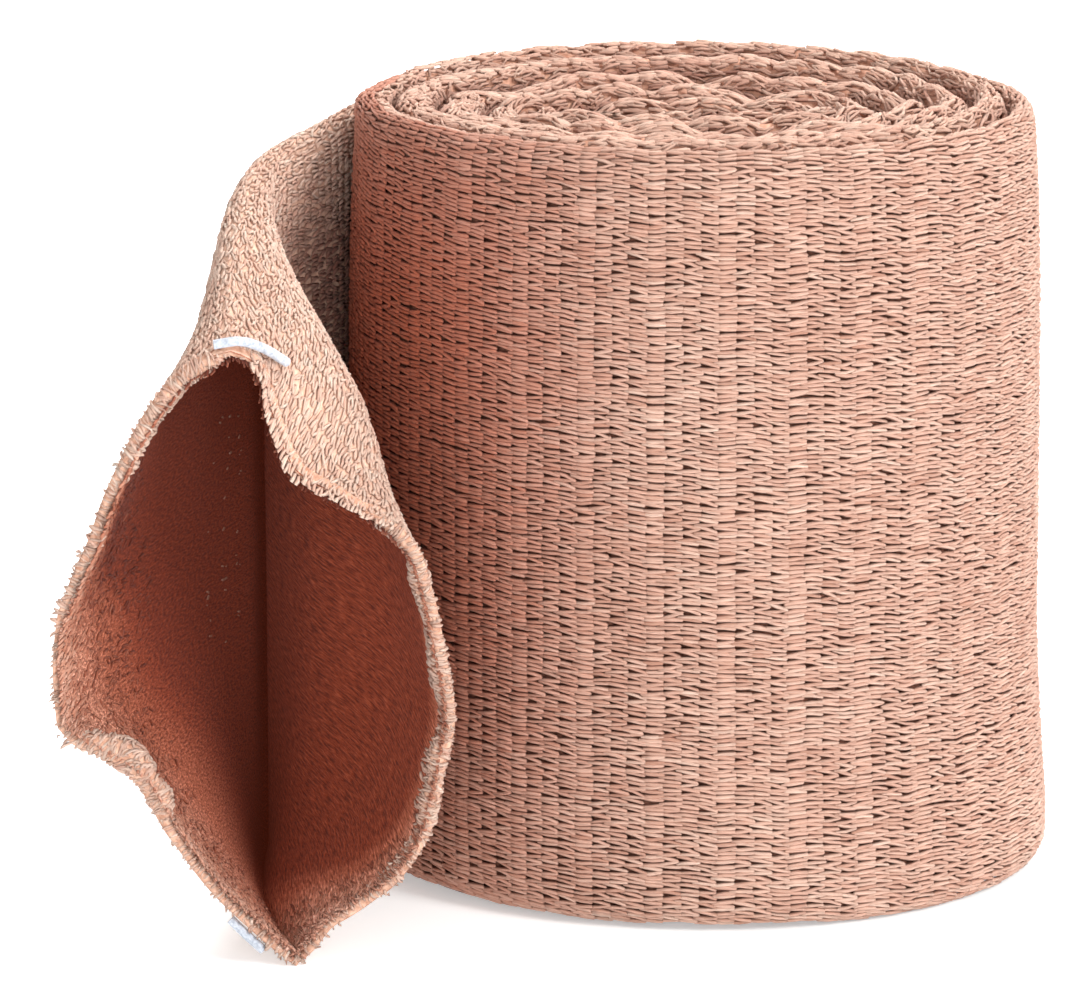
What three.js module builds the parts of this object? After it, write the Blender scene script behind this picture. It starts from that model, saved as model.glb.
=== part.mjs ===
// Tubular bandage: a roll of knitted elastic tube, wound flat, with its loose end standing open.
// Millimetres, Z up. The origin is where the axis of the roll meets the surface that it stands on.
// X points to the right and Y away from the side where the loose end opens.

import * as THREE from 'three';

// Driving dimensions
const TUBE_WIDTH = 87.5; // the tube laid flat, which the roll nearly reaches in height
const TURN = 3.5; // one turn of the winding: the two layers of the flattened tube
const OUTLINE = 40.2; // radius of the outermost turn where the loose end leaves it
const DEPARTURE = THREE.MathUtils.degToRad(157); // direction from the axis in which it leaves
const CLOTH = 1.3; // wall of the opened tube
const FLAT = 1.7; // half thickness of the loose end where its walls lie together
const TAIL_LENGTH = 70.7; // loose end from the cut mouth back to the roll
const HOLLOW_LENGTH = 31; // how far back from the mouth its walls stand apart
const THREAD_WIDTH = 1.05; // white elastic thread
const GAP = 0.3; // between neighbouring solids

// Fineness of the facets
const STEPS_PER_TURN = 48;
const HOLLOW_STEPS = 10;
const FLAT_STEPS = 6;
const THREAD_SIDES = 8;
const THREAD_STEPS = 8;

// Radius of the outermost turn along its way round, clockwise from above. It slips under the loose
// end at the end of the turn. Every turn inside follows the same line, one thickness further in.
const ROUND = [
  { turn: 0, radius: OUTLINE },
  { turn: 0.19, radius: 39.8 },
  { turn: 0.44, radius: 39.2 },
  { turn: 0.7, radius: 39.1 },
  { turn: 0.92, radius: 39.0 },
  { turn: 0.95, radius: 38.2 },
  { turn: 0.975, radius: 37.1 },
  { turn: 1, radius: OUTLINE - TURN },
];

// The main turns in to the flattened core: half sizes along X and Y, how far the groove outside the
// turn and its crest lie below the full width of the tube, and how far its cloth puckers in and out
const TURNS = [
  { number: 0, halfX: OUTLINE, halfY: OUTLINE, groove: 4.3, crest: 2.4, pucker: 0 },
  { number: 1, halfX: OUTLINE - TURN, halfY: OUTLINE - TURN, groove: 3.6, crest: 0.3, pucker: 0 },
  { number: 2, halfX: 32.4, halfY: 31.0, groove: 2.3, crest: 0.5, pucker: 0.2 },
  { number: 3, halfX: 27.8, halfY: 23.6, groove: 3.3, crest: 1.4, pucker: 0.6 },
  { number: 4, halfX: 22.9, halfY: 15.8, groove: 4.3, crest: 1.7, pucker: 0.9 },
  { number: 5, halfX: 18.2, halfY: 8.6, groove: 5.1, crest: 2.1, pucker: 0.7 },
  { number: 6, halfX: 14.2, halfY: 2.6, groove: 6.3, crest: 2.5, pucker: 0.2 },
];
const PUCKERS_PER_TURN = 9;
const CORE_FLOOR = { x: 0, y: 1, below: 7 };

// Points across the rounded crest of a turn: share of the way in, and drop below the crest's top
const CREST = [
  { share: 0.22, drop: 0.7 },
  { share: 0.5, drop: 0 },
  { share: 0.78, drop: 0.7 },
];

// The outer wall of the roll, from the edge of its flat spot up: distance out from the outline
const WALL = [
  { height: 0, out: -4.6 },
  { height: 0.5, out: -1.7 },
  { height: 2.6, out: -0.3 },
  { height: 9, out: 0 },
  { height: 22, out: 0 },
  { height: 44, out: 0 },
  { height: 64, out: -0.1 },
  { height: 76, out: -0.4 },
];
const WALL_TOP_OUT = -0.8;

// The base swells towards the front right, and its edge lifts a little on the left
const SWELL = { direction: THREE.MathUtils.degToRad(-38), out: 2.4, height: 28 };
const EDGE_LIFT = 1.3;
const BASE_MIDDLE = { x: 2, y: 4 };

// The loose end, from its cut mouth back to the roll: distance from the mouth, its bottom and top
// folds in plan, and the height of the top fold
const FOLDS = [
  { from: 0, bottomX: -43.9, bottomY: -53.0, topX: -50.6, topY: -51.5, height: 68.0 },
  { from: 12, bottomX: -46.6, bottomY: -41.2, topX: -51.1, topY: -39.8, height: 73.0 },
  { from: 25, bottomX: -48.4, bottomY: -28.2, topX: -50.8, topY: -27.6, height: 78.3 },
  { from: 39, bottomX: -48.7, bottomY: -14.2, topX: -48.7, topY: -14.4, height: 82.0 },
  { from: 55, bottomX: -41.9, bottomY: 0.3, topX: -41.9, topY: 0.3, height: 84.0 },
  { from: TAIL_LENGTH, bottomX: -35.83, bottomY: 14.71, topX: -35.83, topY: 14.71, height: 85.0 },
];

// Half openings of the loose end, at shares of its height, to the right and to the left of the line
// between its folds: at the cut mouth, the shoulder, the neck, and where its walls lie together
const OPENING_FROM = [0, 12, 25, 37];
const OPENING = [
  { share: 0, right: [0, 0, 0, 0], left: [0, 0, 0, 0] },
  { share: 0.015, right: [1.3, 1.1, 1.0, 1.1], left: [1.3, 1.1, 1.0, 1.1] },
  { share: 0.06, right: [4.4, 3.4, 2.2, FLAT], left: [4.4, 3.4, 2.2, FLAT] },
  { share: 0.13, right: [12, 8.5, 4.0, FLAT], left: [8.5, 7.0, 3.6, FLAT] },
  { share: 0.22, right: [16.5, 13, 5.5, FLAT], left: [12.2, 11, 5.5, FLAT] },
  { share: 0.31, right: [18.5, 15.5, 6.6, FLAT], left: [15.4, 14.5, 7.0, FLAT] },
  { share: 0.41, right: [20.2, 17, 7.4, FLAT], left: [23.4, 17, 8.0, FLAT] },
  { share: 0.53, right: [19.6, 17, 7.6, FLAT], left: [23.0, 16.5, 7.5, FLAT] },
  { share: 0.65, right: [18.5, 16.2, 7.4, FLAT], left: [19.5, 14, 6.0, FLAT] },
  { share: 0.70, right: [16.4, 15.6, 7.3, FLAT], left: [17.5, 12.5, 5.2, FLAT] },
  { share: 0.75, right: [11, 14.8, 7.2, FLAT], left: [16, 11, 4.4, FLAT] },
  { share: 0.81, right: [5.4, 13.6, 7.2, FLAT], left: [13.8, 9, 3.4, FLAT] },
  { share: 0.90, right: [3.6, 10, 6.3, FLAT], left: [10, 5.0, 2.6, FLAT] },
  { share: 0.965, right: [3.0, 5.2, 4.0, FLAT], left: [5.5, 2.9, 2.0, FLAT] },
  { share: 0.99, right: [1.6, 2.0, 1.8, 1.1], left: [2.0, 1.4, 1.2, 1.1] },
  { share: 1, right: [0, 0, 0, 0], left: [0, 0, 0, 0] },
];

// White elastic thread ends on the outside of the loose end: distance from the mouth, way round from
// the top fold (0) down the right wall to the bottom fold (1) or down the left wall (to -1), and
// height of the thread above the place where it would just clear the cloth
const THREAD_TOP = [
  { from: 0.6, round: -0.008, lift: 0.36 },
  { from: 0.7, round: 0.004, lift: 0.36 },
  { from: 2.0, round: 0.025, lift: 0.3 },
  { from: 4.3, round: 0.062, lift: 0.1 },
];
const THREAD_BOTTOM = [
  { from: 1.2, round: -0.915, lift: -0.08 },
  { from: 0.8, round: -0.94, lift: -0.08 },
  { from: 0.8, round: -0.965, lift: -0.08 },
];

// Smooth value at a place in a list of rising places, with no overshoot between them
function smoothAt(places, values, at) {
  const last = places.length - 1;
  if (at <= places[0]) return values[0];
  if (at >= places[last]) return values[last];
  const slopeAfter = (i) => (values[i + 1] - values[i]) / (places[i + 1] - places[i]);
  const slopeAt = (i) => {
    if (i === 0) return slopeAfter(0);
    if (i === last) return slopeAfter(last - 1);
    const product = slopeAfter(i - 1) * slopeAfter(i);
    return product > 0 ? (2 * product) / (slopeAfter(i - 1) + slopeAfter(i)) : 0;
  };
  let i = 0;
  while (at > places[i + 1]) i += 1;
  const step = places[i + 1] - places[i];
  const t = (at - places[i]) / step;
  const rise = values[i + 1] - values[i];
  const startPull = step * slopeAt(i) - rise;
  const endPull = rise - step * slopeAt(i + 1);
  return values[i] + rise * t + t * (1 - t) * (startPull * (1 - t) + endPull * t);
}

function tableAt(rows, key, column, at) {
  return smoothAt(rows.map((row) => row[key]), rows.map((row) => row[column]), at);
}

// Points and faces of one closed solid. A face lists its corners counterclockwise from outside.
class Solid {
  constructor() {
    this.points = [];
    this.corners = [];
  }

  point(x, y, z) {
    this.points.push(x, y, z);
    return this.points.length / 3 - 1;
  }

  face(first, ...rest) {
    for (let i = 0; i < rest.length - 1; i += 1) this.corners.push(first, rest[i], rest[i + 1]);
  }

  geometry() {
    const geometry = new THREE.BufferGeometry();
    geometry.setAttribute('position', new THREE.Float32BufferAttribute(this.points, 3));
    geometry.setIndex(this.corners);
    geometry.computeVertexNormals();
    return geometry;
  }
}

// Place in plan on the winding, a number of turns in from where the loose end leaves
function windingPlan(turn, out = 0) {
  const angle = DEPARTURE - turn * 2 * Math.PI;
  const wholeTurns = Math.min(Math.floor(turn), TURNS.length - 2);
  const share = turn - wholeTurns;
  const full = tableAt(ROUND, 'turn', 'radius', share) - (OUTLINE - TURN * share);
  const pucker = tableAt(TURNS, 'number', 'pucker', turn) * Math.cos(PUCKERS_PER_TURN * angle);
  const more = full / (1 + wholeTurns) + pucker + out;
  return {
    x: (tableAt(TURNS, 'number', 'halfX', turn) + more) * Math.cos(angle),
    y: (tableAt(TURNS, 'number', 'halfY', turn) + more) * Math.sin(angle),
  };
}

// One upright line of points on the outer wall of the roll
function wallColumn(solid, turn) {
  const fromSwell = DEPARTURE - turn * 2 * Math.PI - SWELL.direction;
  const near = (1 + Math.cos(fromSwell)) / 2;
  return WALL.map((row) => {
    const low = Math.max(0, 1 - row.height / SWELL.height) ** 1.5;
    const resting = row.height === 0;
    const place = windingPlan(turn, row.out + (resting ? 0 : SWELL.out * near ** 3 * low));
    return solid.point(place.x, place.y, row.height + (resting ? 0 : EDGE_LIFT * (1 - near) * low));
  });
}

function makeRoll() {
  const solid = new Solid();
  const lastCrest = (TURNS.length - 2) * STEPS_PER_TURN;
  const lastGroove = lastCrest + STEPS_PER_TURN;
  const walls = [];
  const grooves = [];
  const crests = [];
  for (let i = 0; i <= STEPS_PER_TURN; i += 1) walls.push(wallColumn(solid, i / STEPS_PER_TURN));
  for (let i = 0; i <= lastGroove; i += 1) {
    const turn = i / STEPS_PER_TURN;
    const place = windingPlan(turn, WALL_TOP_OUT * Math.max(0, 1 - turn));
    grooves.push(solid.point(place.x, place.y, TUBE_WIDTH - tableAt(TURNS, 'number', 'groove', turn)));
  }
  for (let i = 0; i <= lastCrest; i += 1) {
    const turn = i / STEPS_PER_TURN;
    const outer = windingPlan(turn, WALL_TOP_OUT * Math.max(0, 1 - turn));
    const inner = windingPlan(turn + 1);
    const top = TUBE_WIDTH - tableAt(TURNS, 'number', 'crest', turn);
    crests.push(CREST.map(({ share, drop }) => solid.point(
      THREE.MathUtils.lerp(outer.x, inner.x, share),
      THREE.MathUtils.lerp(outer.y, inner.y, share),
      top - drop,
    )));
  }
  const acrossTurn = (i) => [grooves[i], ...crests[i], grooves[i + STEPS_PER_TURN]];

  // top, turn after turn
  for (let i = 0; i < lastCrest; i += 1) {
    const here = acrossTurn(i);
    const next = acrossTurn(i + 1);
    for (let a = 0; a < here.length - 1; a += 1) solid.face(here[a + 1], next[a + 1], next[a], here[a]);
  }

  // slit in the core, and the end of the innermost turn beside it
  const core = solid.point(CORE_FLOOR.x, CORE_FLOOR.y, TUBE_WIDTH - CORE_FLOOR.below);
  for (let i = lastCrest; i < lastGroove; i += 1) solid.face(core, grooves[i + 1], grooves[i]);
  solid.face(core, ...acrossTurn(lastCrest));

  // outer wall and the flat spot
  const middle = solid.point(BASE_MIDDLE.x, BASE_MIDDLE.y, 0);
  const wallWithTop = (i) => [...walls[i], grooves[i]];
  for (let i = 0; i < STEPS_PER_TURN; i += 1) {
    const here = wallWithTop(i);
    const next = wallWithTop(i + 1);
    for (let a = 0; a < here.length - 1; a += 1) solid.face(here[a], here[a + 1], next[a + 1], next[a]);
    solid.face(middle, here[0], next[0]);
  }

  // step where the loose end goes on from the outermost turn
  const inner = walls[STEPS_PER_TURN];
  const outer = walls[0];
  solid.face(middle, inner[0], outer[0]);
  for (let a = 0; a < WALL.length - 1; a += 1) solid.face(inner[a], inner[a + 1], outer[a + 1], outer[a]);
  solid.face(inner[WALL.length - 1], ...acrossTurn(0).reverse(), outer[WALL.length - 1]);
  return solid.geometry();
}

// Direction to the right of the loose end, level and square to its run
function tailAcross(from) {
  const step = 0.5;
  const middle = (at) => new THREE.Vector2(
    tableAt(FOLDS, 'from', 'bottomX', at) + tableAt(FOLDS, 'from', 'topX', at),
    tableAt(FOLDS, 'from', 'bottomY', at) + tableAt(FOLDS, 'from', 'topY', at),
  );
  const run = middle(Math.min(from + step, TAIL_LENGTH)).sub(middle(Math.max(from - step, 0)));
  return new THREE.Vector2(run.y, -run.x).normalize();
}

// Half opening of the loose end on its right or left at a share of its height
function openingAt(from, column, share) {
  const across = OPENING.map((row) => smoothAt(OPENING_FROM, row[column], from));
  return smoothAt(OPENING.map((row) => row.share), across, share);
}

// Place on the outside of the loose end
function tailPlace(from, round) {
  const share = 1 - Math.abs(round);
  const across = tailAcross(from);
  across.multiplyScalar(round > 0 ? openingAt(from, 'right', share) : -openingAt(from, 'left', share));
  const fold = (end, axis) => tableAt(FOLDS, 'from', end + axis, from);
  return new THREE.Vector3(
    THREE.MathUtils.lerp(fold('bottom', 'X'), fold('top', 'X'), share) + across.x,
    THREE.MathUtils.lerp(fold('bottom', 'Y'), fold('top', 'Y'), share) + across.y,
    share * tableAt(FOLDS, 'from', 'height', from),
  );
}

// Shares of the height that have points: those of the table and one between each two
function sideShares() {
  const shares = OPENING.map((row) => row.share);
  return shares.flatMap((share, i) => (i === 0 ? [share] : [(shares[i - 1] + share) / 2, share]));
}

// Outside of the loose end, once round: up the right wall and down the left one
function tailLoop(from) {
  const shares = sideShares();
  const up = shares.map((share) => tailPlace(from, 1 - share));
  const down = shares.slice(1, -1).reverse().map((share) => tailPlace(from, share - 1));
  return [...up, ...down];
}

// The same loop moved in by the thickness of the cloth
function insideLoop(loop, from) {
  const across = tailAcross(from);
  const right = new THREE.Vector3(across.x, across.y, 0);
  return loop.map((place, i) => {
    const before = loop[(i + loop.length - 1) % loop.length];
    const after = loop[(i + 1) % loop.length];
    const along = after.clone().sub(before);
    const level = along.dot(right);
    const inward = new THREE.Vector3(0, 0, level).addScaledVector(right, -along.z).normalize();
    return place.clone().addScaledVector(inward, CLOTH);
  });
}

function makeLooseEnd() {
  const solid = new Solid();
  const places = [];
  for (let i = 0; i <= HOLLOW_STEPS; i += 1) places.push((HOLLOW_LENGTH * i) / HOLLOW_STEPS);
  for (let i = 1; i <= FLAT_STEPS; i += 1) {
    places.push(HOLLOW_LENGTH + ((TAIL_LENGTH - HOLLOW_LENGTH) * i) / FLAT_STEPS);
  }
  const number = (place) => solid.point(place.x, place.y, place.z);
  const loops = places.map(tailLoop);
  const outer = loops.map((loop) => loop.map(number));
  const inner = places.slice(0, HOLLOW_STEPS + 1).map((from, i) => insideLoop(loops[i], from).map(number));
  const around = outer[0].length;
  const next = (i) => (i + 1) % around;

  for (let row = 0; row < outer.length - 1; row += 1) {
    for (let i = 0; i < around; i += 1) {
      solid.face(outer[row][i], outer[row + 1][i], outer[row + 1][next(i)], outer[row][next(i)]);
    }
  }
  for (let row = 0; row < inner.length - 1; row += 1) {
    for (let i = 0; i < around; i += 1) {
      solid.face(inner[row][next(i)], inner[row + 1][next(i)], inner[row + 1][i], inner[row][i]);
    }
  }
  // cut edge of the mouth
  for (let i = 0; i < around; i += 1) {
    solid.face(outer[0][i], outer[0][next(i)], inner[0][next(i)], inner[0][i]);
  }
  // where the walls meet inside, and the end beside the roll
  const meet = inner[inner.length - 1];
  const root = outer[outer.length - 1];
  const top = sideShares().length - 1;
  for (let i = 0; i < top; i += 1) {
    const leftHere = (around - i) % around;
    const leftNext = around - i - 1;
    if (i === 0) {
      solid.face(meet[0], meet[1], meet[leftNext]);
      solid.face(root[0], root[leftNext], root[1]);
    } else if (i === top - 1) {
      solid.face(meet[i], meet[top], meet[leftHere]);
      solid.face(root[i], root[leftHere], root[top]);
    } else {
      solid.face(meet[i], meet[i + 1], meet[leftNext], meet[leftHere]);
      solid.face(root[i], root[leftHere], root[leftNext], root[i + 1]);
    }
  }
  return solid.geometry();
}

// Place just off the outside of the loose end, with room for a thread and the gap
function besideTail({ from, round, lift }) {
  const step = 0.005;
  const around = tailPlace(from, round + step).sub(tailPlace(from, round - step));
  const along = tailPlace(from + 1, round).sub(tailPlace(from, round));
  const outward = around.cross(along).normalize();
  const place = tailPlace(from, round).addScaledVector(outward, GAP + THREAD_WIDTH / 2);
  return place.setZ(place.z + lift);
}

function makeThread(route) {
  const section = new THREE.Shape();
  section.absarc(0, 0, THREAD_WIDTH / 2, 0, 2 * Math.PI);
  return new THREE.ExtrudeGeometry(section, {
    steps: THREAD_STEPS,
    curveSegments: THREAD_SIDES,
    extrudePath: new THREE.CatmullRomCurve3(route.map(besideTail)),
  });
}

function piece(name, geometry, material) {
  const mesh = new THREE.Mesh(geometry, material);
  mesh.name = name;
  return mesh;
}

const cotton = new THREE.MeshStandardMaterial({ color: 0xdca88f, roughness: 0.95, metalness: 0 });
const elastic = new THREE.MeshStandardMaterial({ color: 0xe4e6ee, roughness: 0.6, metalness: 0 });

const bandage = new THREE.Group();
bandage.add(piece('roll', makeRoll(), cotton));
bandage.add(piece('loose_end', makeLooseEnd(), cotton.clone()));
bandage.add(piece('elastic_end_top', makeThread(THREAD_TOP), elastic));
bandage.add(piece('elastic_end_bottom', makeThread(THREAD_BOTTOM), elastic.clone()));

export default bandage;
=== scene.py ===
# %% [markdown]
# # A roll of tubular bandage
# The real thing is one long tube of coarse elastic knit. It was laid flat, wound up into a roll, and stood
# on its edge, and its loose end was pulled open. This lesson does the same in Blender. It first describes
# the shape of the cloth as a smooth surface, and then lays real stitches on that surface, one by one.
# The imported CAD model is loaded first, because every piece has to stay where its solids are.

import math

import bmesh
import bpy
import numpy as np
from mathutils import Matrix, Vector


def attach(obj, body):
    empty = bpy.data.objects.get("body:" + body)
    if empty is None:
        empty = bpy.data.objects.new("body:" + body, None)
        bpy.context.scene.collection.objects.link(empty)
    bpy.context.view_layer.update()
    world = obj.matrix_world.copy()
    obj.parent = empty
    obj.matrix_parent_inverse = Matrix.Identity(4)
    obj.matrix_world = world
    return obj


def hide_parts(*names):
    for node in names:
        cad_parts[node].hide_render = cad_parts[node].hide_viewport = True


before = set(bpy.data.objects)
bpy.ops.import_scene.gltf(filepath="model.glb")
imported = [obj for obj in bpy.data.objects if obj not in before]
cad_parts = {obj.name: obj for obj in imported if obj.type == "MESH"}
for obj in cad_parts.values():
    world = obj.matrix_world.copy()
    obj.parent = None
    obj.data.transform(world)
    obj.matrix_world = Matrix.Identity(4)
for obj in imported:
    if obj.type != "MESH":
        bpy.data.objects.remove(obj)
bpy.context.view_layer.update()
MM = 0.001
chance = np.random.default_rng(7)
print("nodes:", sorted(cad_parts))

# %% [markdown]
# ## Camera
# The picture was taken with a long lens from a little above the roll. A long lens is a small field of view
# far away, so the sides of the roll stay nearly parallel. Depth of field is left off.

# %% Camera
CAMERA_PLACE = (-0.01685, -0.900, 0.2428)
CAMERA_DOWN = 0.2210
SENSOR = 36.0
LENS = 266.5

camera = bpy.data.objects.new("camera", bpy.data.cameras.new("camera"))
camera.location = CAMERA_PLACE
camera.rotation_euler = (math.pi / 2 - CAMERA_DOWN, 0, 0)
camera.data.sensor_width = SENSOR
camera.data.lens = LENS
bpy.context.scene.collection.objects.link(camera)
bpy.context.scene.camera = camera
print("camera at", tuple(camera.location))

# %% [markdown]
# ## Driving dimensions
# All sizes are in millimetres and are the same as in the CAD model. The cloth has three directions: `u`
# runs along the tube from its cut mouth, `v` runs round it, and `w` points out of the cloth.

# %% Sizes of the cloth
TUBE_WIDTH = 87.5  # of the tube laid flat
TURN = 3.5  # thickness of one turn, which is two layers of cloth
OUTLINE = 40.2  # radius of the roll
DEPARTURE = math.radians(157)  # where the loose end leaves the roll, seen from above
TAIL_LENGTH = 70.7  # of the loose end, from the roll to its mouth
COLUMN = 1.85  # from one column of stitches to the next, along the tube
WALE = 0.972  # from one stitch to the next, round the tube

# %% [markdown]
# ## Smooth lookups
# The shape is kept in short tables, as a pattern cutter would note it. A smooth curve is drawn through the
# rows of a table with no overshoot between them, which is the rule that the CAD model uses as well. The
# lines that come out of it are measured along their length, because cloth keeps its length.


# %% Reading a table smoothly
def smooth_at(places, values, at):
    places, values = np.asarray(places, float), np.asarray(values, float)
    at = np.clip(at, places[0], places[-1])
    step = np.diff(places)
    slope = np.diff(values) / step
    product = slope[:-1] * slope[1:]
    total = np.where(product > 0, slope[:-1] + slope[1:], 1)
    slopes = np.concatenate(([slope[0]], np.where(product > 0, 2 * product / total, 0), [slope[-1]]))
    i = np.clip(np.searchsorted(places, at) - 1, 0, len(places) - 2)
    t = (at - places[i]) / step[i]
    rise = values[i + 1] - values[i]
    start_pull = step[i] * slopes[i] - rise
    end_pull = rise - step[i] * slopes[i + 1]
    return values[i] + rise * t + t * (1 - t) * (start_pull * (1 - t) + end_pull * t)


def column(table, name, at):
    """A column of a table, read at any value of its first column."""
    names, rows = table[0], np.array(table[1:], float)
    return smooth_at(rows[:, 0], rows[:, names.index(name)], at)


def run_along(line):
    """The distance along a line to each of its points."""
    return np.concatenate(([0], np.cumsum(np.linalg.norm(np.diff(line, axis=0), axis=1))))


def points_at(line, run, at):
    return np.stack([np.interp(at, run, line[:, k]) for k in range(3)], axis=1)


# %% [markdown]
# ## The winding, seen from above
# The tube winds clockwise from the place where the loose end leaves. The two outer turns are tight and
# round. Further in the turns get slack, flatten and pucker. A turn is two layers of cloth with a fold
# along its top, and the fold is what shows on top of the roll as a crest.

# %% Tables of the winding
ROUND = [("turn", "radius"), (0, OUTLINE), (0.19, 39.8), (0.44, 39.2), (0.7, 39.1), (0.92, 39.0),
         (0.95, 38.2), (0.975, 37.1), (1, OUTLINE - TURN)]
TURNS = [("number", "half_x", "half_y", "groove", "crest", "pucker", "bump"),
         (0, OUTLINE, OUTLINE, 4.3, 2.4, 0, 0.2),
         (1, OUTLINE - TURN, OUTLINE - TURN, 4.5, 0.1, 0, 0.45),
         (2, 32.4, 31.0, 3.2, 0.6, 0.2, 0.8),
         (3, 27.8, 23.6, 3.9, 1.4, 0.6, 1.0),
         (4, 22.9, 15.8, 4.7, 1.7, 0.9, 1.2),
         (5, 18.2, 8.6, 5.1, 2.1, 0.7, 1.5),
         (6, 14.2, 2.6, 6.3, 2.5, 0.2, 1.5),
         (7, 12.0, 0.6, 6.6, 4.5, 0, 0.5)]
POCKETS = [(3.04, 0.03, 1.2), (3.20, 0.018, 1.3), (3.64, 0.026, 2.0), (3.96, 0.03, 1.6), (4.24, 0.02, 1.6),
           (4.42, 0.03, 1.2), (5.03, 0.05, 2.6)]
LEFT_CALM = 0.8
PUCKERS_PER_TURN = 9
INNERMOST = 6.0
OUTER_TURN = 0.9999  # the outermost turn ends just before the second one starts
WALL = [("height", "out"), (0, -4.6), (0.5, -1.7), (2.6, -0.3), (9, 0), (22, 0), (44, 0), (64, -0.1),
        (76, -0.4), (83.2, -0.8)]
SWELL_DIRECTION = math.radians(-38)
SWELL_OUT = 2.4
SWELL_HEIGHT = 28
EDGE_LIFT = 1.3


# %% Place in plan on the winding
def winding_plan(turn, out=0.0):
    angle = DEPARTURE - turn * 2 * math.pi
    whole = np.minimum(np.floor(turn), 5)
    share = turn - whole
    full = column(ROUND, "radius", share) - (OUTLINE - TURN * share)
    more = full / (1 + whole) + column(TURNS, "pucker", turn) * np.cos(PUCKERS_PER_TURN * angle) + out
    return ((column(TURNS, "half_x", turn) + more) * np.cos(angle),
            (column(TURNS, "half_y", turn) + more) * np.sin(angle))


turns = np.linspace(0, INNERMOST, 6000)
plan_x, plan_y = (np.array(a) for a in winding_plan(turns))
inner_x, inner_y = winding_plan(turns + 1)
middle = np.stack(((plan_x + inner_x) / 2, (plan_y + inner_y) / 2), axis=1)
wound = run_along(middle)
WOUND_LENGTH = float(wound[-1])
print(f"wound length {WOUND_LENGTH:.0f} mm in {INNERMOST} turns")

# %% [markdown]
# ## Puckers
# The elastic yarn pulls the slack turns into bumps about 8 mm long. Each bump is round on top with a
# tight valley beside it, which is the shape of a sine's absolute value. Their lengths vary a little.

# %% Height of the puckers along the winding
PUCKER_LENGTH = 8.0
knots = np.arange(0, WOUND_LENGTH + 30, 14)
length_change = smooth_at(knots, chance.uniform(-0.25, 0.25, len(knots)), wound)
pucker_rate = math.pi / (PUCKER_LENGTH * (1 + length_change))
pucker_phase = np.concatenate(([0], np.cumsum(pucker_rate[1:] * np.diff(wound))))
pucker_height = 0.75 + smooth_at(knots, chance.uniform(-0.35, 0.35, len(knots)), wound)
pucker_wave = (np.abs(np.sin(pucker_phase)) ** 0.8 - 0.55) * pucker_height

# %% [markdown]
# ## A surface that can be walked on
# Stitches are laid by their place in the cloth, so the cloth is stored as a grid of points over `u` and
# `v`. Any place between the grid's points is a blend of the four points round it. The same is done for
# the direction out of the cloth.


# %% The cloth as a grid of points
class Cloth:
    def __init__(self, points, u_range, v_range, outward=1):
        self.points = points
        self.u_range, self.v_range = u_range, v_range
        self.mirrored = outward < 0
        along, round_ = np.gradient(points, axis=0), np.gradient(points, axis=1)
        out = np.cross(along, round_) * outward
        self.out = out / np.maximum(np.linalg.norm(out, axis=2, keepdims=True), 1e-9)

    def place(self, u, v, w):
        rows, columns = self.points.shape[:2]
        a = (u - self.u_range[0]) / (self.u_range[1] - self.u_range[0]) * (rows - 1)
        b = (v - self.v_range[0]) / (self.v_range[1] - self.v_range[0]) * (columns - 1)
        i = np.clip(a.astype(int), 0, rows - 2)
        j = np.clip(b.astype(int), 0, columns - 2)
        s, t = (a - i)[..., None], (b - j)[..., None]

        def blend(grid):  # between the four points round the place
            return ((grid[i, j] * (1 - t) + grid[i, j + 1] * t) * (1 - s)
                    + (grid[i + 1, j] * (1 - t) + grid[i + 1, j + 1] * t) * s)
        out = blend(self.out)
        out /= np.maximum(np.linalg.norm(out, axis=-1, keepdims=True), 1e-9)
        return blend(self.points) + out * np.asarray(w)[..., None]


def even(line, middle_index, at):
    """Points of a line at even distances along it, measured from one of its points."""
    run = run_along(line)
    return points_at(line, run - run[middle_index], at)


# %% [markdown]
# ## Section across one turn
# Going round the section of a turn, the cloth climbs the outer wall, turns over at the fold and goes down
# the inner wall. Distances are measured from the top of the fold, so that the stitches of all turns meet
# their fold in the same way.

# %% Section of the winding
BELOW_GROOVE = 7.0
GROOVE_SHARE = 0.22
FOLD_POINTS = 25


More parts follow.
